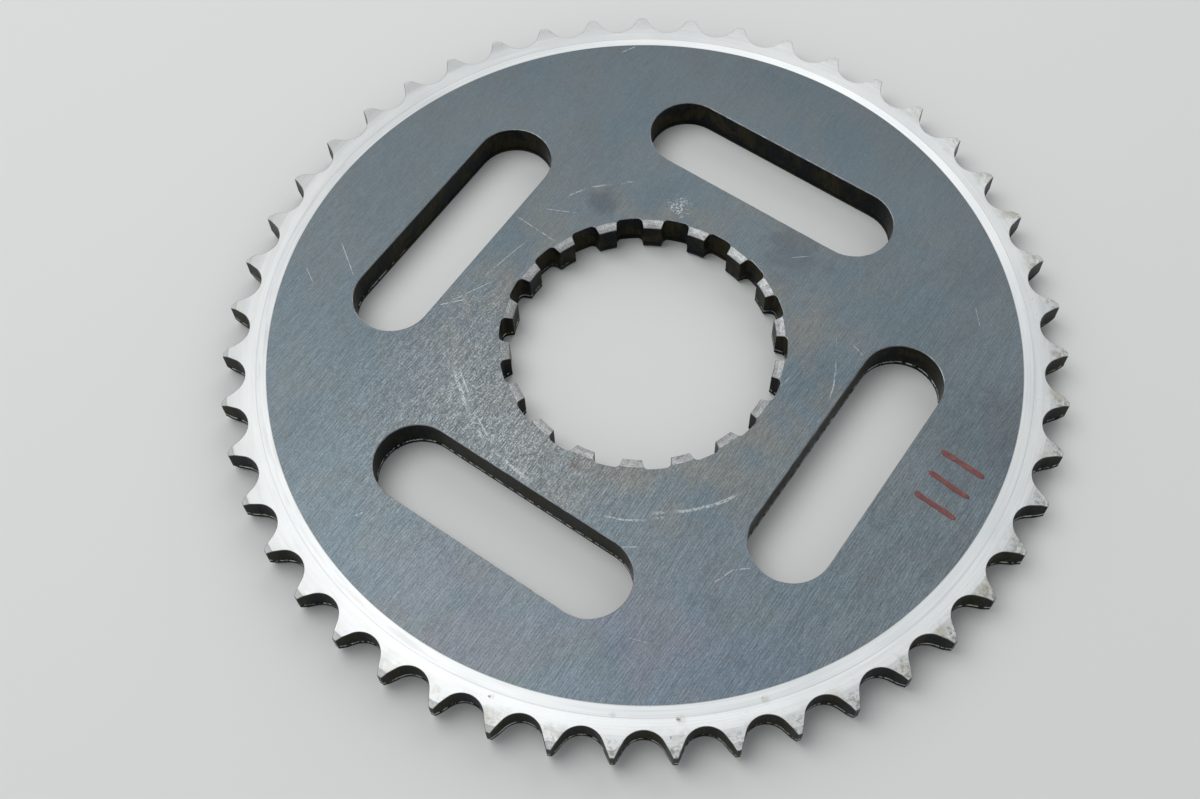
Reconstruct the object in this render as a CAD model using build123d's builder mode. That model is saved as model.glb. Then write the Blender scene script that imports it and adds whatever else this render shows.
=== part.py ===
from build123d import *
import os
from math import cos, pi, radians, sin, tan

# Rear sprocket for a 1/2 x 5/16 inch roller chain, lying on its inner face: one flat steel
# plate with a toothed rim, four lightening slots and a splined bore, and a small painted
# mark on the outer face. Millimetres, +Z up along the bore's axis, origin at the centre of
# the inner face. The slots are centred on the X and Y axes.

os.makedirs("parts", exist_ok=True)

# chain and teeth
TEETH = 47
CHAIN_PITCH = 12.7
ROLLER_D = 8.51
SEAT_R = 4.81            # round bottom of a tooth gap
SEAT_ANGLE = 60.0        # half the seat's arc; the straight flanks start there
TIP_R = 96.5
TOOTH_PHASE = 1.89       # angle of the first tooth tip from +X

# plate and rim section
PLATE_T = 8.5
FACE_R = 85.9            # edge of the flat ground face
FLANK_R = 88.4           # foot of the bevel, start of the turned flank
RIM_RECESS = 0.6         # the flank lies this far inside the face, on both sides
RELIEF_R = 92.1          # the teeth's shallow side relief starts here
TIP_BEVEL_R = 95.1       # and ends here, at the steeper tip bevel
TIP_BEVEL_DEPTH = 0.9    # below the face at the tip bevel's foot
TIP_DEPTH = 1.8          # below the face at the tip

# lightening slots
SLOTS = 4
SLOT_W = 18.7
SLOT_CENTRES = 46.8      # between the centres of the round ends
SLOT_RADIUS = 54.3       # from the bore's axis to the slot's middle
EDGE_BREAK = 0.2

# splined bore
SPLINES = 18
SPLINE_PHASE = 10.0      # angle of the first groove from +X
MAJOR_R = 33.0           # groove bottom
MINOR_R = 30.5           # land top
GROOVE_MOUTH_W = 6.4
GROOVE_ROOT_W = 5.9
GROOVE_FILLET = 1.2
LAND_BEVEL_R = 32.5
LAND_BEVEL_DROP = 0.5
OVERRUN = 1.0            # cutters pass this far beyond the metal

# painted mark on the outer face: parallel brush strokes
MARK_X = 75.4
MARK_Y = 7.2
MARK_STROKES = 3
MARK_SPACING = 6.0
MARK_LENGTH = 12.0
MARK_W = 1.3
MARK_SLANT = -4.0
MARK_T = 0.1

root_r = CHAIN_PITCH / (2 * sin(pi / TEETH)) - ROLLER_D / 2
lower_flank = (
    (0, 0),
    (FACE_R, 0),
    (FLANK_R, RIM_RECESS),
    (RELIEF_R, RIM_RECESS),
    (TIP_BEVEL_R, TIP_BEVEL_DEPTH),
    (TIP_R, TIP_DEPTH),
)
upper_flank = [(radius, PLATE_T - depth) for radius, depth in reversed(lower_flank)]

with BuildPart() as sprocket_plate:
    # turned blank: ground faces, bevels, recessed flanks, side relief and tip bevels
    with BuildSketch(Plane.XZ):
        Polygon(*lower_flank, *upper_flank, align=None)
    revolve(axis=Axis.Z)

    # lightening slots, with their edges broken on both faces
    with BuildSketch():
        with PolarLocations(SLOT_RADIUS, SLOTS):
            SlotCenterToCenter(SLOT_CENTRES, SLOT_W, rotation=90)
    extrude(amount=PLATE_T, mode=Mode.SUBTRACT)
    flats = sprocket_plate.faces().filter_by(Axis.Z).sort_by(SortBy.AREA)[-2:]
    slot_edges = [edge for flat in flats for loop in flat.inner_wires() for edge in loop.edges()]
    chamfer(slot_edges, EDGE_BREAK)

    # splined bore: the land circle, and rounded grooves cut outwards from it; the private
    # sketch is only the groove's shape, cut where the second sketch places it
    with BuildSketch(mode=Mode.PRIVATE) as groove:
        Polygon(
            (MINOR_R - OVERRUN, -GROOVE_MOUTH_W / 2),
            (MINOR_R, -GROOVE_MOUTH_W / 2),
            (MAJOR_R + OVERRUN, -GROOVE_ROOT_W / 2),
            (MAJOR_R + OVERRUN, GROOVE_ROOT_W / 2),
            (MINOR_R, GROOVE_MOUTH_W / 2),
            (MINOR_R - OVERRUN, GROOVE_MOUTH_W / 2),
            align=None,
        )
        Circle(MAJOR_R, mode=Mode.INTERSECT)
        fillet(groove.vertices().group_by(Axis.X)[-1], GROOVE_FILLET)
    with BuildSketch():
        Circle(MINOR_R)
        with PolarLocations(0, SPLINES, start_angle=SPLINE_PHASE):
            add(groove.sketch)
    extrude(amount=PLATE_T, mode=Mode.SUBTRACT)

    # bevel across the lands at both faces
    with BuildSketch(Plane.XZ):
        for face_z, inward in ((0, 1), (PLATE_T, -1)):
            Polygon(
                (MINOR_R - OVERRUN, face_z - inward * OVERRUN),
                (LAND_BEVEL_R, face_z - inward * OVERRUN),
                (LAND_BEVEL_R, face_z),
                (MINOR_R, face_z + inward * LAND_BEVEL_DROP),
                (MINOR_R - OVERRUN, face_z + inward * LAND_BEVEL_DROP),
                align=None,
            )
    revolve(axis=Axis.Z, mode=Mode.SUBTRACT)

    # tooth gaps: a round seat with straight flanks that open past the tips, drawn once as
    # a private shape and placed round the rim
    flank_x = root_r + SEAT_R * (1 - cos(radians(SEAT_ANGLE)))
    flank_y = SEAT_R * sin(radians(SEAT_ANGLE))
    mouth_x = TIP_R + 2 * OVERRUN
    mouth_y = flank_y + (mouth_x - flank_x) * tan(radians(90 - SEAT_ANGLE))
    with BuildSketch(mode=Mode.PRIVATE) as gap:
        with BuildLine():
            ThreePointArc((flank_x, flank_y), (root_r, 0), (flank_x, -flank_y))
            Polyline((flank_x, -flank_y), (mouth_x, -mouth_y), (mouth_x, mouth_y), (flank_x, flank_y))
        make_face()
    with BuildSketch():
        with PolarLocations(0, TEETH, start_angle=TOOTH_PHASE + 180 / TEETH):
            add(gap.sketch)
    extrude(amount=PLATE_T, mode=Mode.SUBTRACT)

sprocket_plate.part.label = "sprocket_plate"
export_step(sprocket_plate.part, "parts/sprocket_plate.step")

with BuildPart() as paint_mark:
    with BuildSketch(Plane.XY.offset(PLATE_T)):
        with Locations((MARK_X, MARK_Y)):
            with GridLocations(0, MARK_SPACING, 1, MARK_STROKES):
                SlotOverall(MARK_LENGTH, MARK_W, rotation=MARK_SLANT)
    extrude(amount=MARK_T)

paint_mark.part.label = "paint_mark"
export_step(paint_mark.part, "parts/paint_mark.step")
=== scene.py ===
import math

import bmesh
import bpy
from mathutils import Matrix, Vector, noise
from mathutils.geometry import delaunay_2d_cdt


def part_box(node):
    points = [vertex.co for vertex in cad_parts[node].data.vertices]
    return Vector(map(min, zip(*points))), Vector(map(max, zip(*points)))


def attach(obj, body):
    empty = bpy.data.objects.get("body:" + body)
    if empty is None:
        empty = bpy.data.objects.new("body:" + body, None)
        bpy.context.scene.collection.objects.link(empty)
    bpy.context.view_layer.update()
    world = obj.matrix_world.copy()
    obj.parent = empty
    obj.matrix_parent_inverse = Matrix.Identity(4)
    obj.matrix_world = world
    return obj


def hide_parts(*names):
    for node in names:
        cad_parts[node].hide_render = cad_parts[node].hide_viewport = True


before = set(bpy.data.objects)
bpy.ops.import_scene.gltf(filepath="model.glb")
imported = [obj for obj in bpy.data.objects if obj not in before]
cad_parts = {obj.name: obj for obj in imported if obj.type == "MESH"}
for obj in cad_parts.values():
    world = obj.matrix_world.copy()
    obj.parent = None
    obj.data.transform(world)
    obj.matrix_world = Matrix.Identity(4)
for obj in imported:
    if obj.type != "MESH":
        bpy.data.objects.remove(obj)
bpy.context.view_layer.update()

# ---------------------------------------------------------------- sizes, metres
MM = 0.001
plate_low, plate_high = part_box("sprocket_plate")
mark_low, mark_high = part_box("paint_mark")
PLATE_T = plate_high.z - plate_low.z

TEETH = 47
CHAIN_PITCH = 12.7 * MM
ROLLER_D = 8.51 * MM
HALF_PITCH = math.pi / TEETH
TOOTH_PHASE = math.radians(1.89)
ROOT_R = CHAIN_PITCH / (2 * math.sin(HALF_PITCH)) - ROLLER_D / 2
SEAT_R = 4.81 * MM
SEAT_ANGLE = math.radians(60)

SLOTS = 4
SLOT_R = 9.35 * MM
SLOT_HALF = 23.4 * MM
SLOT_RADIUS = 54.3 * MM

SPLINES = 18
SPLINE_PHASE = math.radians(10)
MINOR_R = 30.5 * MM
MAJOR_R = 33.0 * MM
MOUTH_HALF = 3.2 * MM
ROOT_HALF = 2.95 * MM
GROOVE_FILLET = 1.2 * MM

LAND_BEVEL_R = 32.5 * MM
FACE_R = 85.9 * MM
FLANK_R = 88.4 * MM
RELIEF_R = 92.1 * MM
TIP_BEVEL_R = 95.1 * MM
TIP_R = 96.5 * MM
# how far each side lies below its highest plane, from the bore out to the tooth tips
SECTION = (
    (MINOR_R, 0.5 * MM),
    (LAND_BEVEL_R, 0.0),
    (FACE_R, 0.0),
    (FLANK_R, 0.6 * MM),
    (RELIEF_R, 0.6 * MM),
    (TIP_BEVEL_R, 0.9 * MM),
    (TIP_R, 1.8 * MM),
)

# rounding of the edges where walls meet the sides
TOOTH_BREAK = 0.10 * MM
SLOT_BREAK = 0.20 * MM
BORE_BREAK = 0.12 * MM
# the burr: its height above the lower side, its reach, and the torn band over it, which carries a painted
# highlight
BURR_HEIGHT = 1.15 * MM
BURR_REACH = 0.10 * MM
BURR_BAND = 0.40 * MM
# lumps per metre in the burr's outline
BURR_COARSE = 420
BURR_FINE = 1400
# slack where a radius is compared with the mesh
ROUNDING = 0.005 * MM
# largest turn between two faces that are shaded as one, in degrees
SMOOTH_WALL = 30
SMOOTH_SIDE = 3

# material slots of the sprocket's mesh
GROUND, TURNED, CUT, EDGE, LAND, BURR = range(6)


# ---------------------------------------------------------------- outlines, with the steel on their left
def polar(radius, angle):
    return Vector((radius * math.cos(angle), radius * math.sin(angle)))


def to_polar(point):
    return point.length, math.atan2(point.y, point.x)


def gap_side():
    """Half of a tooth gap along the X axis, as (radius, angle), from its bottom to the tip circle."""
    centre = ROOT_R + SEAT_R
    relief_cos = (centre**2 + SEAT_R**2 - RELIEF_R**2) / (2 * centre * SEAT_R)
    relief_turn = math.acos(relief_cos)
    low_steps, high_steps = 7, 3
    turns = [relief_turn * i / low_steps for i in range(low_steps + 1)]
    rest = SEAT_ANGLE - relief_turn
    turns += [relief_turn + rest * i / high_steps for i in range(1, high_steps + 1)]
    side = [to_polar(Vector((centre - SEAT_R * math.cos(t), SEAT_R * math.sin(t)))) for t in turns]
    # the flank leaves the seat in a straight line, and is met with two circles
    start = polar(*side[-1])
    along = Vector((math.sin(SEAT_ANGLE), math.cos(SEAT_ANGLE)))
    for radius in (TIP_BEVEL_R, TIP_R):
        b = start.dot(along)
        side.append(to_polar(start + along * (-b + math.sqrt(b * b + radius**2 - start.length_squared))))
    return side


def tooth_outline():
    side = gap_side()
    gap = [(r, -a) for r, a in reversed(side)] + side[1:] + [(TIP_R, HALF_PITCH)]
    loop = []
    for tooth in range(TEETH):
        middle = TOOTH_PHASE + HALF_PITCH * (2 * tooth + 1)
        loop += [polar(r, middle + a) for r, a in gap]
    return loop


def slot_outline(number):
    end_steps, side_steps = 24, 14
    loop = []
    for end in (1, -1):
        for i in range(end_steps):
            turn = math.pi * i / end_steps
            loop.append(end * Vector((SLOT_R * math.cos(turn), SLOT_HALF + SLOT_R * math.sin(turn))))
        for i in range(side_steps):
            loop.append(end * Vector((-SLOT_R, SLOT_HALF * (1 - 2 * i / side_steps))))
    spin = Matrix.Rotation(2 * math.pi * number / SLOTS, 2)
    return [spin @ (point + Vector((SLOT_RADIUS, 0))) for point in reversed(loop)]


def groove_side():
    """Half of a spline groove along the X axis, as (radius, angle), from its mouth to its middle."""
    mouth = Vector((math.sqrt(MINOR_R**2 - MOUTH_HALF**2), MOUTH_HALF))
    along = Vector((MAJOR_R - MINOR_R, ROOT_HALF - MOUTH_HALF)).normalized()
    inward = Vector((along.y, -along.x))
    # the fillet touches the groove's side and its root circle
    start = mouth + inward * GROOVE_FILLET
    b = start.dot(along)
    reach = MAJOR_R - GROOVE_FILLET
    centre = start + along * (-b + math.sqrt(b * b + reach**2 - start.length_squared))
    first = centre - inward * GROOVE_FILLET
    last = centre.normalized() * MAJOR_R
    from_turn = math.atan2(*(first - centre).yx)
    to_turn = math.atan2(*(last - centre).yx)
    # the land's bevel ends on the fillet, so one point is put where its circle crosses
    bevel_cos = (LAND_BEVEL_R**2 - reach**2 - GROOVE_FILLET**2) / (2 * reach * GROOVE_FILLET)
    bevel_turn = math.acos(bevel_cos) + math.atan2(centre.y, centre.x)
    mouth_steps, end_steps = 4, 5
    turns = [from_turn + (bevel_turn - from_turn) * i / mouth_steps for i in range(mouth_steps + 1)]
    turns += [bevel_turn + (to_turn - bevel_turn) * i / end_steps for i in range(1, end_steps + 1)]
    side = [to_polar(mouth), to_polar(mouth.lerp(first, 0.5))]
    side += [to_polar(centre + polar(GROOVE_FILLET, t)) for t in turns]
    root_steps = 3
    root_angle = side[-1][1]
    side += [(MAJOR_R, root_angle * (1 - i / root_steps)) for i in range(1, root_steps + 1)]
    return side


def bore_outline():
    side = groove_side()
    half = math.pi / SPLINES
    land_steps = 8
    land_half = half - side[0][1]
    groove = side + [(r, -a) for r, a in reversed(side[:-1])]
    land = [(MINOR_R, -half + land_half * (1 - 2 * i / land_steps)) for i in range(1, land_steps)]
    loop = []
    for number in range(SPLINES):
        middle = SPLINE_PHASE - 2 * half * number
        loop += [polar(r, middle + a) for r, a in groove + land]
    return loop


def inset(loop, distance):
    """The closed loop moved to its left by this distance, with mitred corners."""
    moved = []
    for i, point in enumerate(loop):
        before = (point - loop[i - 1]).normalized()
        after = (loop[(i + 1) % len(loop)] - point).normalized()
        left = (before + after).normalized().orthogonal()
        moved.append(point + left * (distance / left.dot(before.orthogonal())))
    return moved


def depth(radius):
    """How far a side lies below its highest plane at this radius."""
    for (r0, d0), (r1, d1) in zip(SECTION, SECTION[1:]):
        if radius < r1:
            return d0 + (d1 - d0) * max(0.0, radius - r0) / (r1 - r0)
    return SECTION[-1][1]


# ---------------------------------------------------------------- mesh of the sprocket
class Shell:
    """The sprocket's mesh: walls along each outline first, then both sides between them."""

    def __init__(self):
        self.bm = bmesh.new()
        self.points = []
        self.edges = []
        self.outer = []
        self.inner = []
        self.holes = []

    def ring(self, loop, lift):
        return [self.bm.verts.new((p.x, p.y, lift(p, i))) for i, p in enumerate(loop)]

    def band(self, upper, lower, slot):
        for i in range(len(upper)):
            quad = (upper[i - 1], upper[i], lower[i], lower[i - 1])
            self.bm.faces.new(quad).material_index = slot

    def wall(self, outline, wear, burr_share, hole):
        """The wall along an outline, with worn edges and a ragged burr above the lower one."""
        face_loop = inset(outline, wear)
        worn_loop = inset(outline, wear * (1 - math.sqrt(0.5)))
        drop = wear * (1 - math.sqrt(0.5))
        deep = [depth(p.length) for p in outline]
        burr = [burr_share * burr_size(p) for p in outline]
        burr_loop = [p.lerp(q, -b / wear) for p, q, b in zip(outline, face_loop, burr)]
        rings = [
            (face_loop, lambda p, i: PLATE_T - depth(p.length), EDGE),
            (worn_loop, lambda p, i: PLATE_T - depth(p.length) - drop, EDGE),
            (outline, lambda p, i: PLATE_T - deep[i] - wear, CUT),
            (outline, lambda p, i: PLATE_T - deep[i] - 2 * wear, CUT),
            (outline, lambda p, i: PLATE_T / 2, CUT),
            (outline, lambda p, i: deep[i] + BURR_HEIGHT + BURR_BAND, BURR),
            (burr_loop, lambda p, i: deep[i] + BURR_HEIGHT, CUT),
            (outline, lambda p, i: deep[i] + wear, EDGE),
            (worn_loop, lambda p, i: depth(p.length) + drop, EDGE),
            (face_loop, lambda p, i: depth(p.length), None),
        ]
        made = [self.ring(loop, lift) for loop, lift, _ in rings]
        for upper, lower, (_, _, slot) in zip(made, made[1:], rings):
            self.band(upper, lower, slot)
        if hole:
            self.holes.append(face_loop)
        self.line(face_loop, closed=True)
        self.outer += made[0]
        self.inner += made[-1]
        return face_loop

    def line(self, loop, closed=False):
        first = len(self.points)
        self.points += loop
        self.edges += [(first + i, first + i + 1) for i in range(len(loop) - 1)]
        if closed:
            self.edges.append((first + len(loop) - 1, first))

    def creases(self, outline, face_loop, radius, steps):
        """Arcs at this radius from each gap to the next, where a side changes its slope."""
        ends = [i for i, p in enumerate(outline) if abs(p.length - radius) < 1e-8]
        for a, b in zip(ends[1::2], ends[2::2] + ends[:1]):
            r0, angle0 = to_polar(face_loop[a])
            r1, angle1 = to_polar(face_loop[b])
            sweep = math.remainder(angle1 - angle0, 2 * math.pi)
            shares = [i / steps for i in range(1, steps)]
            arc = [polar(r0 + (r1 - r0) * s, angle0 + sweep * s) for s in shares]
            self.line([face_loop[a]] + arc + [face_loop[b]])

    def circle(self, radius, steps):
        self.line([polar(radius, 2 * math.pi * i / steps) for i in range(steps)], closed=True)

    def sides(self):
        """Both sides, filled between the outlines along the creases and circles."""
        flat, _, triangles, *_ = delaunay_2d_cdt(self.points, self.edges, [], 1, 1e-8)
        # points of the outlines come first, so their verts are the walls' own
        outer, inner, walls = {}, {}, {}
        for vert_up, vert_down in zip(self.outer, self.inner):
            walls[(round(vert_up.co.x * 1e7), round(vert_up.co.y * 1e7))] = (vert_up, vert_down)
        for i, p in enumerate(flat):
            key = (round(p.x * 1e7), round(p.y * 1e7))
            if key in walls:
                outer[i], inner[i] = walls[key]
            else:
                outer[i] = self.bm.verts.new((p.x, p.y, PLATE_T - depth(p.length)))
                inner[i] = self.bm.verts.new((p.x, p.y, depth(p.length)))
        for corners in triangles:
            centre = sum((flat[i] for i in corners), Vector((0, 0))) / len(corners)
            if any(inside(centre, hole) for hole in self.holes):
                continue
            slot = zone(centre.length)
            self.bm.faces.new([outer[i] for i in corners]).material_index = slot
            self.bm.faces.new([inner[i] for i in reversed(corners)]).material_index = slot
        for vert in [v for v in self.bm.verts if not v.link_faces]:
            self.bm.verts.remove(vert)


def burr_size(point):
    """Reach of the ragged burr that the cutter left, none near the tooth tips."""
    coarse = noise.noise(Vector((point.x, point.y, 0.0)) * BURR_COARSE)
    fine = noise.noise(Vector((point.x, point.y, 3.0)) * BURR_FINE)
    rough = coarse + 0.5 * fine
    away = min(1.0, max(0.0, (TIP_BEVEL_R - point.length) / MM))
    return BURR_REACH * away * min(1.0, max(0.08, 0.5 + rough))


def zone(radius):
    if radius < LAND_BEVEL_R:
        return LAND
    return GROUND if radius < FACE_R - ROUNDING else TURNED


def inside(point, loop):
    result = False
    for i, b in enumerate(loop):
        a = loop[i - 1]
        if (a.y > point.y) != (b.y > point.y):
            if point.x < a.x + (point.y - a.y) * (b.x - a.x) / (b.y - a.y):
                result = not result
    return result


def shade_edges(bm):
    """Smooth along each surface, sharp where two surfaces meet."""
    for edge in bm.edges:
        slots = {face.material_index for face in edge.link_faces}
        limit = math.radians(SMOOTH_WALL if slots <= {CUT} or slots <= {EDGE} else SMOOTH_SIDE)
        edge.smooth = len(slots) == 1 and edge.calc_face_angle(0) < limit
    for face in bm.faces:
        face.smooth = True


def build_sprocket():
    shell = Shell()
    teeth = tooth_outline()
    teeth_face = shell.wall(teeth, TOOTH_BREAK, burr_share=1.0, hole=False)
    shell.creases(teeth, teeth_face, RELIEF_R, steps=5)
    shell.creases(teeth, teeth_face, TIP_BEVEL_R, steps=3)
    for number in range(SLOTS):
        shell.wall(slot_outline(number), SLOT_BREAK, burr_share=1.0, hole=True)
    bore = bore_outline()
    bore_face = shell.wall(bore, BORE_BREAK, burr_share=0.4, hole=True)
    shell.creases(bore, bore_face, LAND_BEVEL_R, steps=8)
    for radius in (FACE_R, FLANK_R):
        shell.circle(radius, steps=8 * TEETH)
    shell.sides()
    bm = shell.bm
    bmesh.ops.recalc_face_normals(bm, faces=bm.faces)
    shade_edges(bm)
    mesh = bpy.data.meshes.new("sprocket")
    bm.to_mesh(mesh)
    bm.free()
    piece = bpy.data.objects.new("sprocket", mesh)
    bpy.context.scene.collection.objects.link(piece)
    return piece


sprocket = build_sprocket()


# ---------------------------------------------------------------- materials
# sides are named as the camera sees them: near is +X and -Y, left is -X and -Y
class Nodes:
    """A short way to write a node tree, with the places that the materials share."""

    def __init__(self, name):
        self.material = bpy.data.materials.new(name)
        self.material.use_nodes = True
        self.tree = self.material.node_tree
        self.tree.nodes.clear()
        self.shader = self.add("ShaderNodeBsdfPrincipled")
        self.link(self.shader.outputs[0], self.add("ShaderNodeOutputMaterial").inputs[0])
        self.place = self.add("ShaderNodeTexCoord").outputs["Object"]
        parts = self.add("ShaderNodeSeparateXYZ")
        self.link(self.place, parts.inputs[0])
        self.x, self.y, self.z = parts.outputs
        self.radius = self.length(self.combine(self.x, self.y, 0.0))
        self.angle = self.math("ARCTAN2", self.y, self.x)

    def add(self, kind):
        return self.tree.nodes.new(kind)

    def link(self, value, socket):
        if isinstance(value, bpy.types.NodeSocket):
            self.tree.links.new(value, socket)
        else:
            socket.default_value = value

    def set(self, **values):
        """Set the shader's sockets, by name with _ for a space."""
        for name, value in values.items():
            self.link(value, self.shader.inputs[name.replace("_", " ")])

    def math(self, operation, a, b=0.0, c=0.0):
        node = self.add("ShaderNodeMath")
        node.operation = operation
        for socket, value in zip(node.inputs, (a, b, c)):
            self.link(value, socket)
        return node.outputs[0]

    def times(self, first, *rest):
        for value in rest:
            first = self.math("MULTIPLY", first, value)
        return first

    def most(self, first, *rest):
        for value in rest:
            first = self.math("MAXIMUM", first, value)
        return first

    def combine(self, x, y, z):
        node = self.add("ShaderNodeCombineXYZ")
        for socket, value in zip(node.inputs, (x, y, z)):
            self.link(value, socket)
        return node.outputs[0]

    def length(self, vector):
        node = self.add("ShaderNodeVectorMath")
        node.operation = "LENGTH"
        self.link(vector, node.inputs[0])
        return node.outputs["Value"]

    def moved(self, vector, shift=(0, 0, 0), scale=(1, 1, 1)):
        """The vector scaled and shifted."""
        node = self.add("ShaderNodeMapping")
        node.inputs["Location"].default_value = shift
        node.inputs["Scale"].default_value = scale
        self.link(vector, node.inputs["Vector"])
        return node.outputs[0]

    def noise(self, vector, size, detail=2.0, rough=0.5, bend=0.0):
        """Noise with lumps of about this size."""
        node = self.add("ShaderNodeTexNoise")
        self.link(vector, node.inputs["Vector"])
        node.inputs["Scale"].default_value = 1 / size
        node.inputs["Detail"].default_value = detail
        node.inputs["Roughness"].default_value = rough
        node.inputs["Distortion"].default_value = bend
        return node.outputs["Fac"]

    def step(self, value, low, high, out_low=0.0, out_high=1.0):
        """A smooth step of value from low to high."""
        node = self.add("ShaderNodeMapRange")
        node.interpolation_type = "SMOOTHSTEP"
        names = ("Value", "From Min", "From Max", "To Min", "To Max")
        for name, v in zip(names, (value, low, high, out_low, out_high)):
            self.link(v, node.inputs[name])
        return node.outputs["Result"]

    def mix(self, share, a, b, blend="MIX"):
        node = self.add("ShaderNodeMix")
        node.data_type = "RGBA"
        node.blend_type = blend
        self.link(share, node.inputs["Factor"])
        for value, socket in ((a, node.inputs[6]), (b, node.inputs[7])):
            self.link(value if isinstance(value, bpy.types.NodeSocket) else (*value, 1.0), socket)
        return node.outputs[2]

    def slope(self):
        """How far a place lies towards the far side, in metres."""
        return self.math("SUBTRACT", self.y, self.times(self.x, 0.5))

    def shade(self, colour, *tones):
        """The colour made lighter or darker by each tone."""
        tone = self.times(*tones) if len(tones) > 1 else tones[0]
        return self.mix(1.0, colour, self.combine(tone, tone, tone), "MULTIPLY")

    def around_one(self, value, swing):
        """A tone that swings by this much round 1, from a value between 0 and 1."""
        return self.math("MULTIPLY_ADD", self.math("SUBTRACT", value, 0.5), swing, 1.0)

    def ramp(self, value, *stops):
        node = self.add("ShaderNodeValToRGB")
        elements = node.color_ramp.elements
        while len(elements) < len(stops):
            elements.new(0.5)
        for element, (at, colour) in zip(elements, stops):
            element.position = at
            element.color = (*colour, 1.0)
        self.link(value, node.inputs[0])
        return node.outputs[0]

    def bump(self, *layers):
        """Bump from (height, distance) layers, one over the other."""
        normal = None
        for height, distance in layers:
            node = self.add("ShaderNodeBump")
            node.inputs["Distance"].default_value = distance
            self.link(height, node.inputs["Height"])
            if normal is not None:
                self.link(normal, node.inputs["Normal"])
            normal = node.outputs[0]
        self.set(Normal=normal)

    def band(self, value, middle, half, soft):
        """1 where value is within half of middle."""
        away = self.math("ABSOLUTE", self.math("SUBTRACT", value, middle))
        return self.step(away, half + soft, half)

    def blot(self, x, y, size, soft=0.8, ragged=None):
        """1 in the middle of a round blot, falling to 0 at its rim."""
        from_x = self.math("SUBTRACT", self.x, x)
        from_y = self.math("SUBTRACT", self.y, y)
        away = self.length(self.combine(from_x, from_y, 0.0))
        if ragged is not None:
            away = self.math("MULTIPLY_ADD", ragged, size, away)
        return self.step(away, size, size * (1 - soft))

    def scratch(self, x, y, turn, length, width):
        """1 along a thin straight scratch centred on (x, y)."""
        spin = math.radians(turn)
        along = self.math("MULTIPLY", self.x, math.cos(spin))
        along = self.math("MULTIPLY_ADD", self.y, math.sin(spin), along)
        across = self.math("MULTIPLY", self.x, -math.sin(spin))
        across = self.math("MULTIPLY_ADD", self.y, math.cos(spin), across)
        u = x * math.cos(spin) + y * math.sin(spin)
        v = y * math.cos(spin) - x * math.sin(spin)
        on_line = self.band(across, v, width / 2, width / 2)
        return self.times(on_line, self.band(along, u, length * 0.3, length * 0.2))

    def rub(self, away, radius, middle, half, width):
        """1 along an arc where away, the distance from the axis, is radius; middle and half in degrees."""
        turned = self.math("WRAP", self.math("SUBTRACT", self.angle, math.radians(middle)), math.pi, -math.pi)
        span = self.step(self.math("ABSOLUTE", turned), math.radians(half), math.radians(half * 0.7))
        return self.times(self.band(away, radius, width / 2, width / 2), span)


# all tables of marks are in mm and degrees
# stains: place, size, share of the stain's colour
SMUDGES = (
    (-29.0, 25.8, 5.4, 0.42),
    (16.0, 39.0, 11.0, 0.34),
    (52.0, 56.0, 12.0, 0.16),
    (78.0, 27.0, 15.0, 0.22),
    (76.0, 8.0, 7.0, 0.12),
    (-30.0, -9.0, 4.0, 0.25),
    (24.5, -47.5, 2.0, 0.45),
    (8.5, -73.0, 6.0, 0.14),
    (-52.0, -62.0, 9.0, 0.10),
    (47.7, -44.2, 2.2, 0.34),
    (59.6, -52.3, 2.6, 0.20),
    (38.0, -64.0, 8.0, 0.10),
)
# arcs rubbed round the bore: radius, middle, half of the arc, width
RUBS = (
    (43.4, 247, 25, 0.50),
    (42.0, 238, 14, 0.30),
    (43.6, 138, 12, 0.26),
    (43.8, 318, 16, 0.45),
    (45.0, 302, 9, 0.30),
    (44.2, 20, 16, 0.18),
)
# straight scratches: middle, turn, length, width
SCRATCHES = (
    (-69.5, -21.5, -34, 11.0, 0.11),
    (-74.0, -30.0, -30, 6.0, 0.08),
    (-50.6, 67.8, 62, 4.5, 0.14),
    (18.0, 39.0, 40, 5.0, 0.10),
    (42.0, 25.0, -20, 4.0, 0.10),
    (32.5, 8.0, 78, 5.0, 0.12),
    (-38.0, 10.5, -3, 13.0, 0.12),
    (-40.0, -12.0, 64, 12.0, 0.12),
    (-42.0, -17.0, 48, 8.0, 0.16),
    (-39.0, -1.0, 80, 16.0, 0.10),
    (-36.0, 18.0, 25, 9.0, 0.09),
    (-23.5, -32.0, 74, 6.0, 0.10),
    (-17.0, -38.5, 15, 7.0, 0.10),
    (-26.0, -71.0, 60, 2.5, 0.16),
    (26.5, -44.0, 35, 4.0, 0.16),
    (28.5, -50.0, 70, 3.0, 0.18),
    (40.0, -60.0, 20, 5.0, 0.08),
    (46.7, -38.1, 70, 6.0, 0.16),
    (49.0, -34.6, 40, 4.0, 0.16),
    (60.0, 48.0, -50, 6.0, 0.07),
)
# crowds of bright specks: place and size
CROWDS = (
    (-13.4, 34.8, 5.0),
    (-26.0, -31.0, 13.0),
    (-4.0, -40.0, 9.0),
    (-36.0, -14.0, 10.0),
    (9.0, -44.0, 9.0),
)
# fine ribs of the grain, and how far they drift sideways
RIB_PITCH = 0.64 * MM
RIB_DRIFT = 1.6 * MM


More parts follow.
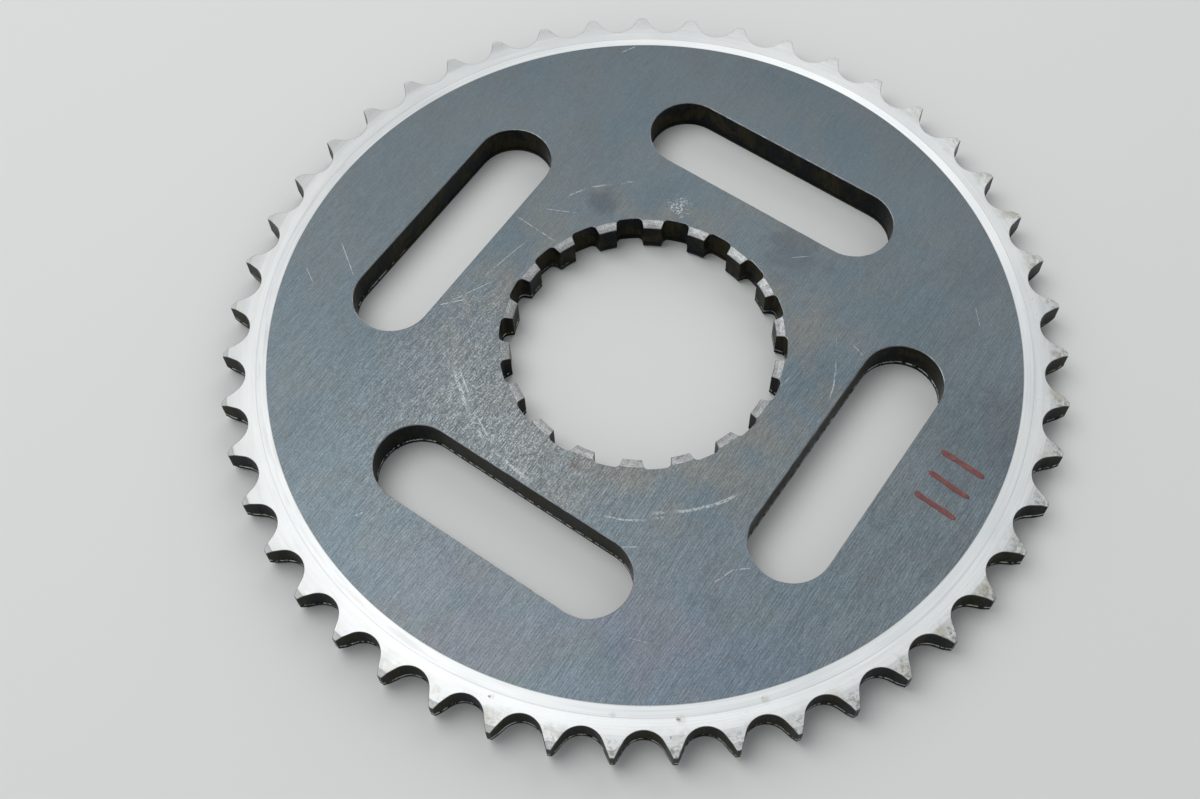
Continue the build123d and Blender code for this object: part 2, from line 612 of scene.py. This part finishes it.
def grain(n, near_side):
    """The ground face's grain: streaks and ribs along Y, and frost, as (tone, streaks, frost)."""
    sway = n.math("MULTIPLY_ADD", n.noise(n.place, 26 * MM, 1), 1.2 * MM, n.x)
    place = n.combine(sway, n.y, n.z)
    streaks = n.noise(n.moved(place, scale=(1, 0.12, 1)), 0.24 * MM, 2, 0.65)
    lines = n.noise(n.moved(place, scale=(1, 0.08, 1)), 0.8 * MM, 2, 0.6)
    drift = n.noise(n.moved(place, scale=(1, 0.3, 1)), 3.0 * MM, 2)
    across = n.math("MULTIPLY_ADD", drift, RIB_DRIFT, sway)
    ribs = n.math("SINE", n.math("MULTIPLY", across, 2 * math.pi / RIB_PITCH))
    frost = n.noise(n.moved(n.place, scale=(1, 0.6, 1)), 0.24 * MM, 3, 0.75)
    worn = n.blot(-16 * MM, -34 * MM, 52 * MM, 0.9)
    streak_swing = n.times(n.math("MULTIPLY_ADD", worn, 0.4, near_side), 0.35)
    frost_swing = n.math("MULTIPLY_ADD", n.math("ADD", near_side, worn), 0.32, 0.14)
    tone = n.times(
        n.around_one(n.step(streaks, 0.30, 0.70), streak_swing),
        n.around_one(n.step(lines, 0.30, 0.70), n.times(near_side, 0.14)),
        n.math("MULTIPLY_ADD", ribs, n.times(near_side, 0.10), 1.0),
        n.around_one(n.step(frost, 0.28, 0.72), frost_swing),
    )
    return tone, streaks, frost


def face_marks(n):
    """Rubs, scratches and chips on the outer face, 1 where the steel is bare."""
    # noise moves the arcs up to 1.2 mm in and out
    inner = n.math("SUBTRACT", n.radius, 1.2 * MM)
    wander = n.math("MULTIPLY_ADD", n.noise(n.place, 11 * MM, 2), 2.4 * MM, inner)
    rubs = [n.rub(wander, r * MM, middle, half, width * MM) for r, middle, half, width in RUBS]
    broken = n.times(
        n.step(n.noise(n.place, 0.42 * MM, 2, 0.7), 0.36, 0.58),
        n.step(n.noise(n.moved(n.place, (0.4, 0.6, 0)), 5 * MM, 2), 0.36, 0.54),
    )
    scratches = [n.scratch(x * MM, y * MM, turn, l * MM, w * MM) for x, y, turn, l, w in SCRATCHES]
    faded = n.step(n.noise(n.place, 0.9 * MM, 2), 0.32, 0.52)
    chips = n.noise(n.place, 0.50 * MM, 2, 0.6)
    crowd = n.most(*[n.blot(x * MM, y * MM, size * MM, 0.9) for x, y, size in CROWDS])
    torn = n.times(n.math("SUBTRACT", n.noise(n.place, 1.6 * MM, 3), 0.5), 2.4)
    scuff = n.blot(-13.4 * MM, 34.8 * MM, 2.8 * MM, 0.7, torn)
    return n.most(
        n.times(n.most(*rubs), broken, 0.85),
        n.times(n.most(*scratches), faded, 0.8),
        n.times(n.step(chips, 0.73, 0.77), 0.7),
        n.times(n.step(chips, 0.58, 0.68), crowd, 0.7),
        n.times(n.step(chips, 0.50, 0.56), scuff),
    )


def ground_steel():
    """Blue-grey ground face: grain along Y, a worn area near the bore, tints, smudges, scratches."""
    n = Nodes("ground_steel")
    slope = n.slope()
    near_side = n.step(slope, 70 * MM, -50 * MM, 0.36, 1.0)
    tone, streaks, frost = grain(n, near_side)
    cloud = n.noise(n.place, 34 * MM, 3, 0.5, 0.5)
    base = n.ramp(cloud, (0.30, (0.125, 0.160, 0.182)), (0.70, (0.158, 0.190, 0.208)))
    # tints: blue and violet on the near side, warm round the bore
    tint = n.noise(n.moved(n.place, (0.3, 0.1, 0)), 26 * MM, 3, 0.55, 0.8)
    corner = n.blot(54 * MM, -62 * MM, 46 * MM, 0.9)
    base = n.mix(n.times(n.step(tint, 0.70, 0.40), corner, 0.50), base, (0.125, 0.168, 0.218))
    base = n.mix(n.times(n.step(tint, 0.40, 0.70), corner, 0.60), base, (0.168, 0.166, 0.212))
    edge_tint = n.times(n.blot(4 * MM, -84 * MM, 34 * MM, 0.8), n.step(tint, 0.40, 0.56))
    base = n.mix(n.times(edge_tint, 0.4), base, (0.175, 0.168, 0.202))
    patches = n.step(n.noise(n.moved(n.place, (0.7, 0.2, 0)), 11 * MM, 4), 0.42, 0.64)
    round_bore = n.step(n.radius, 54 * MM, 34 * MM)
    base = n.mix(n.times(patches, round_bore, 0.75), base, (0.196, 0.200, 0.190))
    base = n.mix(n.times(patches, 0.18), base, (0.175, 0.168, 0.145))
    # on the near left of the bore: worn to a neutral grey, with silver flecks
    worn = n.blot(-12 * MM, -30 * MM, 44 * MM, 0.9)
    base = n.mix(n.times(worn, 0.60), base, (0.154, 0.162, 0.164))
    flecks = n.times(n.step(frost, 0.40, 0.64), n.step(streaks, 0.36, 0.60))
    flecks = n.times(n.blot(-16 * MM, -30 * MM, 44 * MM, 0.9), flecks)
    base = n.mix(n.times(flecks, 0.55), base, (0.40, 0.41, 0.41))
    # painted light and shade: the face is painted darker towards the far right and the far left and lighter
    # towards the near side, as the light falls on it
    far_right_painted_shade = n.step(n.y, 52 * MM, 88 * MM, 1.0, 0.82)
    far_left_painted_shade = n.step(n.x, 20 * MM, -60 * MM, 1.0, 0.93)
    near_painted_light = n.step(slope, 40 * MM, -110 * MM, 0.98, 1.12)
    base = n.shade(base, tone, far_right_painted_shade, far_left_painted_shade, near_painted_light)
    ragged = n.times(n.math("SUBTRACT", n.noise(n.place, 3.4 * MM, 3), 0.5), 1.5)
    for x, y, size, share in SMUDGES:
        patch = n.blot(x * MM, y * MM, size * MM, 0.8, ragged)
        base = n.mix(n.times(patch, share), base, (0.060, 0.066, 0.082))
    marks = face_marks(n)
    base = n.mix(n.times(marks, 0.72), base, (0.55, 0.575, 0.58))
    pits = n.noise(n.moved(n.place, (0.2, 0.9, 0)), 0.8 * MM, 2, 0.6)
    base = n.mix(n.times(n.step(pits, 0.72, 0.76), 0.5), base, (0.05, 0.05, 0.055))
    rust = n.times(n.blot(5.6 * MM, -35.0 * MM, 1.3 * MM, 0.9), n.step(pits, 0.46, 0.60))
    base = n.mix(n.times(rust, 0.6), base, (0.15, 0.075, 0.07))
    rough = n.math("MULTIPLY_ADD", streaks, 0.16, n.step(cloud, 0.3, 0.7, 0.36, 0.42))
    n.set(Base_Color=base, Metallic=0.85, Roughness=rough)
    n.bump((n.math("ADD", frost, streaks), 0.008 * MM), (marks, 0.02 * MM))
    return n.material


# dark spots on the rim: place and size
RIM_SPOTS = (
    (55.9, -69.1, 0.7),
    (67.7, -55.9, 0.6),
    (56.7, -73.1, 0.5),
    (44.0, -76.2, 0.4),
    (21.5, -87.0, 0.4),
)


def turned_steel():
    """Bright turned rim: circular tool lines, lines at its steps, stains and specks on the teeth."""
    n = Nodes("turned_steel")
    around = n.combine(n.radius, n.times(n.angle, 1.2 * MM), 0.0)
    lines = n.noise(around, 0.35 * MM, 3, 0.6)
    cloud = n.noise(n.place, 14 * MM, 3, 0.5)
    base = n.ramp(cloud, (0.3, (0.61, 0.625, 0.63)), (0.7, (0.67, 0.68, 0.675)))
    base = n.shade(base, n.step(lines, 0.25, 0.75, 0.93, 1.06))
    base = n.mix(n.times(n.band(n.radius, FLANK_R, 0.05 * MM, 0.12 * MM), 0.40), base, (0.34, 0.35, 0.36))
    base = n.mix(n.times(n.band(n.radius, RELIEF_R, 0.03 * MM, 0.12 * MM), 0.12), base, (0.38, 0.39, 0.40))
    base = n.mix(n.times(n.step(n.radius, FACE_R + 0.22 * MM, FACE_R), 0.55), base, (0.16, 0.13, 0.10))
    base = n.shade(base, n.step(n.radius, 89.5 * MM, 94.5 * MM, 1.0, 0.86))
    # painted light: the bevel band between FACE_R and FLANK_R is painted lighter, standing in for the light
    # on its tilted face
    base = n.shade(base, n.step(n.radius, FLANK_R - 0.1 * MM, FLANK_R + 0.1 * MM, 1.22, 1.0))
    # painted light: the tip facets are painted lighter, to cancel the shade that their slope gives them
    base = n.mix(n.times(n.step(n.radius, 94.6 * MM, 95.8 * MM), 0.30), base, (0.80, 0.81, 0.80))
    # painted light and shade: the rim is painted lighter towards the near right and darker towards the far
    # left, as the light falls on it
    near_painted_light = n.step(n.math("SUBTRACT", n.x, n.y), 40 * MM, 110 * MM, 1.0, 1.18)
    far_left_painted_shade = n.step(n.x, 10 * MM, -70 * MM, 1.0, 0.94)
    trails = n.noise(n.combine(n.radius, n.times(n.angle, 9 * MM), 0.0), 1.6 * MM, 3, 0.6)
    on_left = n.step(n.math("ADD", n.x, n.y), -30 * MM, -90 * MM)
    base = n.mix(n.times(n.step(trails, 0.46, 0.66), on_left, 0.40), base, (0.56, 0.545, 0.50))
    base = n.shade(base, near_painted_light, far_left_painted_shade)
    # oil stains and dark specks, thicker on the +X side
    side = n.step(n.x, -30 * MM, 75 * MM, 0.15, 1.0)
    on_teeth = n.step(n.radius, 89.5 * MM, 93.0 * MM)
    stain = n.step(n.noise(n.moved(n.place, (0.2, 0.5, 0)), 4.5 * MM, 4, 0.6), 0.48, 0.64)
    stain = n.times(stain, on_teeth, side)
    base = n.mix(n.times(stain, 0.55), base, (0.40, 0.36, 0.27))
    dirt = n.noise(n.place, 0.9 * MM, 4, 0.7)
    grime = n.times(n.step(dirt, 0.46, 0.62), n.step(n.radius, 91.5 * MM, 95.0 * MM), side)
    base = n.mix(n.times(grime, 0.70), base, (0.22, 0.195, 0.15))
    specks = n.times(n.step(dirt, 0.66, 0.71), n.step(n.radius, 87.0 * MM, 93.0 * MM, 0.2, 1.0), side)
    for x, y, size in RIM_SPOTS:
        halo = n.blot((x + 0.5) * MM, (y + 0.3) * MM, 2.2 * size * MM, 0.9)
        base = n.mix(n.times(halo, 0.30), base, (0.42, 0.36, 0.26))
        specks = n.most(specks, n.times(n.blot(x * MM, y * MM, size * MM, 0.7), n.step(dirt, 0.46, 0.54)))
    base = n.mix(n.times(specks, 0.75), base, (0.10, 0.085, 0.07))
    rough = n.math("MULTIPLY_ADD", n.math("ADD", stain, specks), 0.12, n.step(lines, 0.3, 0.7, 0.42, 0.50))
    metal = n.times(
        n.step(n.radius, FLANK_R - 0.1 * MM, FLANK_R + 0.1 * MM, 0.40, 0.6),
        n.step(n.radius, 94.4 * MM, 95.6 * MM, 1.0, 0.30),
    )
    n.set(Base_Color=base, Metallic=metal, Roughness=rough)
    n.bump((lines, 0.012 * MM))
    return n.material


def cut_steel():
    """Near-black walls of the slots, bore and tooth gaps, partly painted shade, with brown and olive oil
    tints.
    """
    n = Nodes("cut_steel")
    mottled = n.noise(n.place, 7 * MM, 4, 0.6, 0.5)
    # painted shade: the base is kept near-black, darker than the oiled steel's own colour, so the walls stay
    # dark under the pale floor's light; the brown and olive stops are oil tints
    base = n.ramp(
        mottled,
        (0.30, (0.005, 0.006, 0.008)),
        (0.46, (0.007, 0.008, 0.008)),
        (0.58, (0.026, 0.022, 0.009)),
        (0.72, (0.013, 0.015, 0.007)),
    )
    rust = n.step(n.noise(n.moved(n.place, (0.5, 0.3, 0.1)), 9 * MM, 3), 0.62, 0.72)
    base = n.mix(n.times(rust, 0.6), base, (0.042, 0.020, 0.011))
    drag = n.noise(n.moved(n.place, scale=(1, 1, 0.15)), 0.6 * MM, 3, 0.6)
    base = n.shade(base, n.step(drag, 0.3, 0.7, 0.7, 1.35))
    n.set(Base_Color=base, Roughness=n.step(mottled, 0.3, 0.7, 0.22, 0.42))
    n.set(Specular_IOR_Level=0.04)
    n.bump((drag, 0.05 * MM))
    return n.material


def worn_edge():
    """Burnished edges where the cut walls meet the sides."""
    n = Nodes("worn_edge")
    patchy = n.noise(n.place, 2.2 * MM, 3, 0.6)
    base = n.ramp(patchy, (0.38, (0.14, 0.15, 0.16)), (0.62, (0.24, 0.25, 0.26)))
    n.set(Base_Color=base, Metallic=0.9, Roughness=n.step(patchy, 0.3, 0.7, 0.45, 0.32))
    return n.material


def burr_band_glint():
    """Torn band near the lower edge of the cut walls, with a painted highlight: bright and broken on the near
    side, where light catches it.
    """
    n = Nodes("burr_band_glint")
    torn = n.noise(n.place, 1.5 * MM, 4, 0.75)
    # painted highlight: the torn band is painted bright only on the near side, where the light catches it
    near_side = n.step(n.slope(), 34 * MM, -4 * MM)
    bright = n.times(n.step(torn, 0.45, 0.55), near_side)
    base = n.mix(bright, (0.010, 0.011, 0.012), (0.70, 0.71, 0.70))
    n.set(Base_Color=base, Metallic=n.times(bright, 0.3), Roughness=0.4)
    n.set(Specular_IOR_Level=n.times(bright, 0.5))
    return n.material


def land_steel():
    """Machined bevels of the spline lands: bright at the face, duller at the bore, rusty in places."""
    n = Nodes("land_steel")
    patchy = n.noise(n.place, 1.6 * MM, 4, 0.65)
    lines = n.noise(n.combine(n.radius, n.times(n.angle, 2 * MM), 0.0), 0.25 * MM, 2)
    base = n.ramp(patchy, (0.35, (0.32, 0.325, 0.33)), (0.65, (0.48, 0.485, 0.485)))
    base = n.mix(n.step(n.radius, 31.7 * MM, 31.1 * MM, 0.0, 0.35), base, (0.17, 0.175, 0.18))
    specks = n.noise(n.place, 0.32 * MM, 3, 0.75)
    base = n.shade(base, n.step(lines, 0.3, 0.7, 0.80, 1.14), n.step(specks, 0.35, 0.68, 0.62, 1.25))
    on_left = n.blot(-24 * MM, -20 * MM, 24 * MM, 0.9)
    base = n.mix(n.times(on_left, n.step(specks, 0.60, 0.48), 0.6), base, (0.15, 0.158, 0.16))
    rust = n.step(n.noise(n.moved(n.place, (0.1, 0.8, 0)), 4.5 * MM, 3), 0.60, 0.70)
    base = n.mix(n.times(rust, 0.35), base, (0.20, 0.11, 0.07))
    n.set(Base_Color=base, Metallic=0.5, Roughness=n.step(patchy, 0.3, 0.7, 0.50, 0.38))
    n.bump((n.math("ADD", patchy, lines), 0.02 * MM))
    return n.material


for make in (ground_steel, turned_steel, cut_steel, worn_edge, land_steel, burr_band_glint):
    sprocket.data.materials.append(make())
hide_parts("sprocket_plate")
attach(sprocket, "root")


# ---------------------------------------------------------------- painted mark
STROKES = 3
STROKE_W = 1.3 * MM
STROKE_SLANT = math.radians(-4)
STROKE_STEPS = 30
STROKE_SPACING = 6.0 * MM
STROKE_LIFT = 0.001 * MM
PAINT_T = (mark_high.z - mark_low.z) * 0.8
# across a stroke: share of its half width, and share of its thickness
STROKE_SECTION = (
    (-1.0, 0.0),
    (-0.93, 0.55),
    (-0.7, 0.95),
    (-0.25, 0.75),
    (0.25, 0.75),
    (0.7, 0.95),
    (0.93, 0.55),
    (1.0, 0.0),
)


def add_stroke(bm, start, end, seed):
    """A hand-drawn stroke: thicker along its edges, uneven in width, with rounded ends."""
    along = (end - start).normalized()
    across = Vector((-along.y, along.x))
    rows = []
    for i in range(STROKE_STEPS + 1):
        share = i / STROKE_STEPS
        away = abs(2 * share - 1)
        wobble = noise.noise(Vector((share * 5.0, seed, 0.0)))
        drift = noise.noise(Vector((share * 1.6, seed, 7.0)))
        half = STROKE_W / 2 * (1 + 0.22 * wobble) * math.sqrt(max(0.02, 1 - away**14))
        middle = start.lerp(end, share) + across * (0.25 * MM * drift)
        row = []
        for u, v in STROKE_SECTION:
            p = middle + across * (u * half)
            thick = PAINT_T * v * (1 - 0.35 * away**6)
            row.append(bm.verts.new((p.x, p.y, mark_low.z + STROKE_LIFT + thick)))
        rows.append(row)
    for upper, lower in zip(rows, rows[1:]):
        for j in range(len(upper) - 1):
            bm.faces.new((upper[j], lower[j], lower[j + 1], upper[j + 1]))
        bm.faces.new((upper[-1], lower[-1], lower[0], upper[0]))
    bm.faces.new(rows[0])
    bm.faces.new(reversed(rows[-1]))


def build_mark():
    bm = bmesh.new()
    centre = ((mark_low + mark_high) / 2).to_2d()
    room = (mark_high - mark_low) / 2
    slant = Vector((math.cos(STROKE_SLANT), math.sin(STROKE_SLANT)))
    reach = (room.x - 0.2 * MM) / math.cos(STROKE_SLANT)
    for number in range(STROKES):
        middle = centre + Vector((0, STROKE_SPACING * (number - 1)))
        short = (0.8 + 0.5 * noise.noise(Vector((number, 2.5, 1.5)))) * MM
        tip_out = middle + slant * (reach - short)
        tip_in = middle - slant * (reach - 0.5 * short)
        add_stroke(bm, tip_in, tip_out, float(number) * 3.7)
    bmesh.ops.recalc_face_normals(bm, faces=bm.faces)
    for face in bm.faces:
        face.smooth = len(face.verts) == 4 and face.normal.z > -0.5
    mesh = bpy.data.meshes.new("paint_strokes")
    bm.to_mesh(mesh)
    bm.free()
    piece = bpy.data.objects.new("paint_strokes", mesh)
    bpy.context.scene.collection.objects.link(piece)
    return piece


def marker_paint():
    """Red-brown marker ink: thin where it was wiped, darker where it pooled."""
    n = Nodes("marker_paint")
    pooled = n.noise(n.place, 1.4 * MM, 3, 0.6)
    base = n.ramp(
        pooled,
        (0.30, (0.110, 0.030, 0.028)),
        (0.55, (0.165, 0.046, 0.040)),
        (0.75, (0.215, 0.085, 0.072)),
    )
    n.set(Base_Color=base, Roughness=n.step(pooled, 0.3, 0.7, 0.42, 0.60))
    n.bump((pooled, 0.03 * MM))
    return n.material


strokes = build_mark()
strokes.data.materials.append(marker_paint())
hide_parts("paint_mark")
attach(strokes, "root")


# ---------------------------------------------------------------- floor, light, camera
def floor_paint():
    n = Nodes("floor_paint")
    n.set(Base_Color=(0.70, 0.70, 0.69, 1.0), Roughness=0.7)
    return n.material


FLOOR_SIZE = 8.0
bpy.ops.mesh.primitive_plane_add(size=FLOOR_SIZE, location=(0, 0, plate_low.z))
floor = bpy.context.object
floor.name = "floor"
floor.data.materials.append(floor_paint())


def area_light(name, place, size, power):
    """A round light that points at the origin."""
    lamp = bpy.data.lights.new(name, "AREA")
    lamp.shape = "DISK"
    lamp.size = size
    lamp.energy = power
    holder = bpy.data.objects.new(name, lamp)
    holder.location = place
    holder.rotation_euler = (-Vector(place)).to_track_quat("-Z", "Y").to_euler()
    bpy.context.scene.collection.objects.link(holder)


area_light("overhead", place=(-0.45, -0.08, 0.95), size=0.85, power=5.0)
area_light("window", place=(-0.30, 1.20, 0.72), size=1.3, power=6.0)

world = bpy.data.worlds.new("studio")
world.use_nodes = True
sky = world.node_tree.nodes["Background"]
sky.inputs["Color"].default_value = (0.93, 0.97, 1.0, 1.0)
sky.inputs["Strength"].default_value = 0.47
bpy.context.scene.world = world
bpy.context.scene.view_settings.view_transform = "Standard"

CAMERA_AT = Vector((99.68, -148.53, 317.90)) * MM
CAMERA_TARGET = Vector((1.0, -18.45, 8.5)) * MM
CAMERA_ROLL = math.radians(-2.414)
FOCAL_LENGTH = 46.92     # mm, on a sensor 36 mm wide
lens = bpy.data.cameras.new("camera")
lens.sensor_width = 36.0
lens.lens = FOCAL_LENGTH
lens.clip_start = 0.01
camera = bpy.data.objects.new("camera", lens)
aim = (CAMERA_TARGET - CAMERA_AT).to_track_quat("-Z", "Y").to_matrix() @ Matrix.Rotation(CAMERA_ROLL, 3, "Z")
camera.matrix_world = Matrix.Translation(CAMERA_AT) @ aim.to_4x4()
bpy.context.scene.collection.objects.link(camera)
bpy.context.scene.camera = camera


def corners(bounds):
    return [[float(v) for v in corner] for corner in bounds]
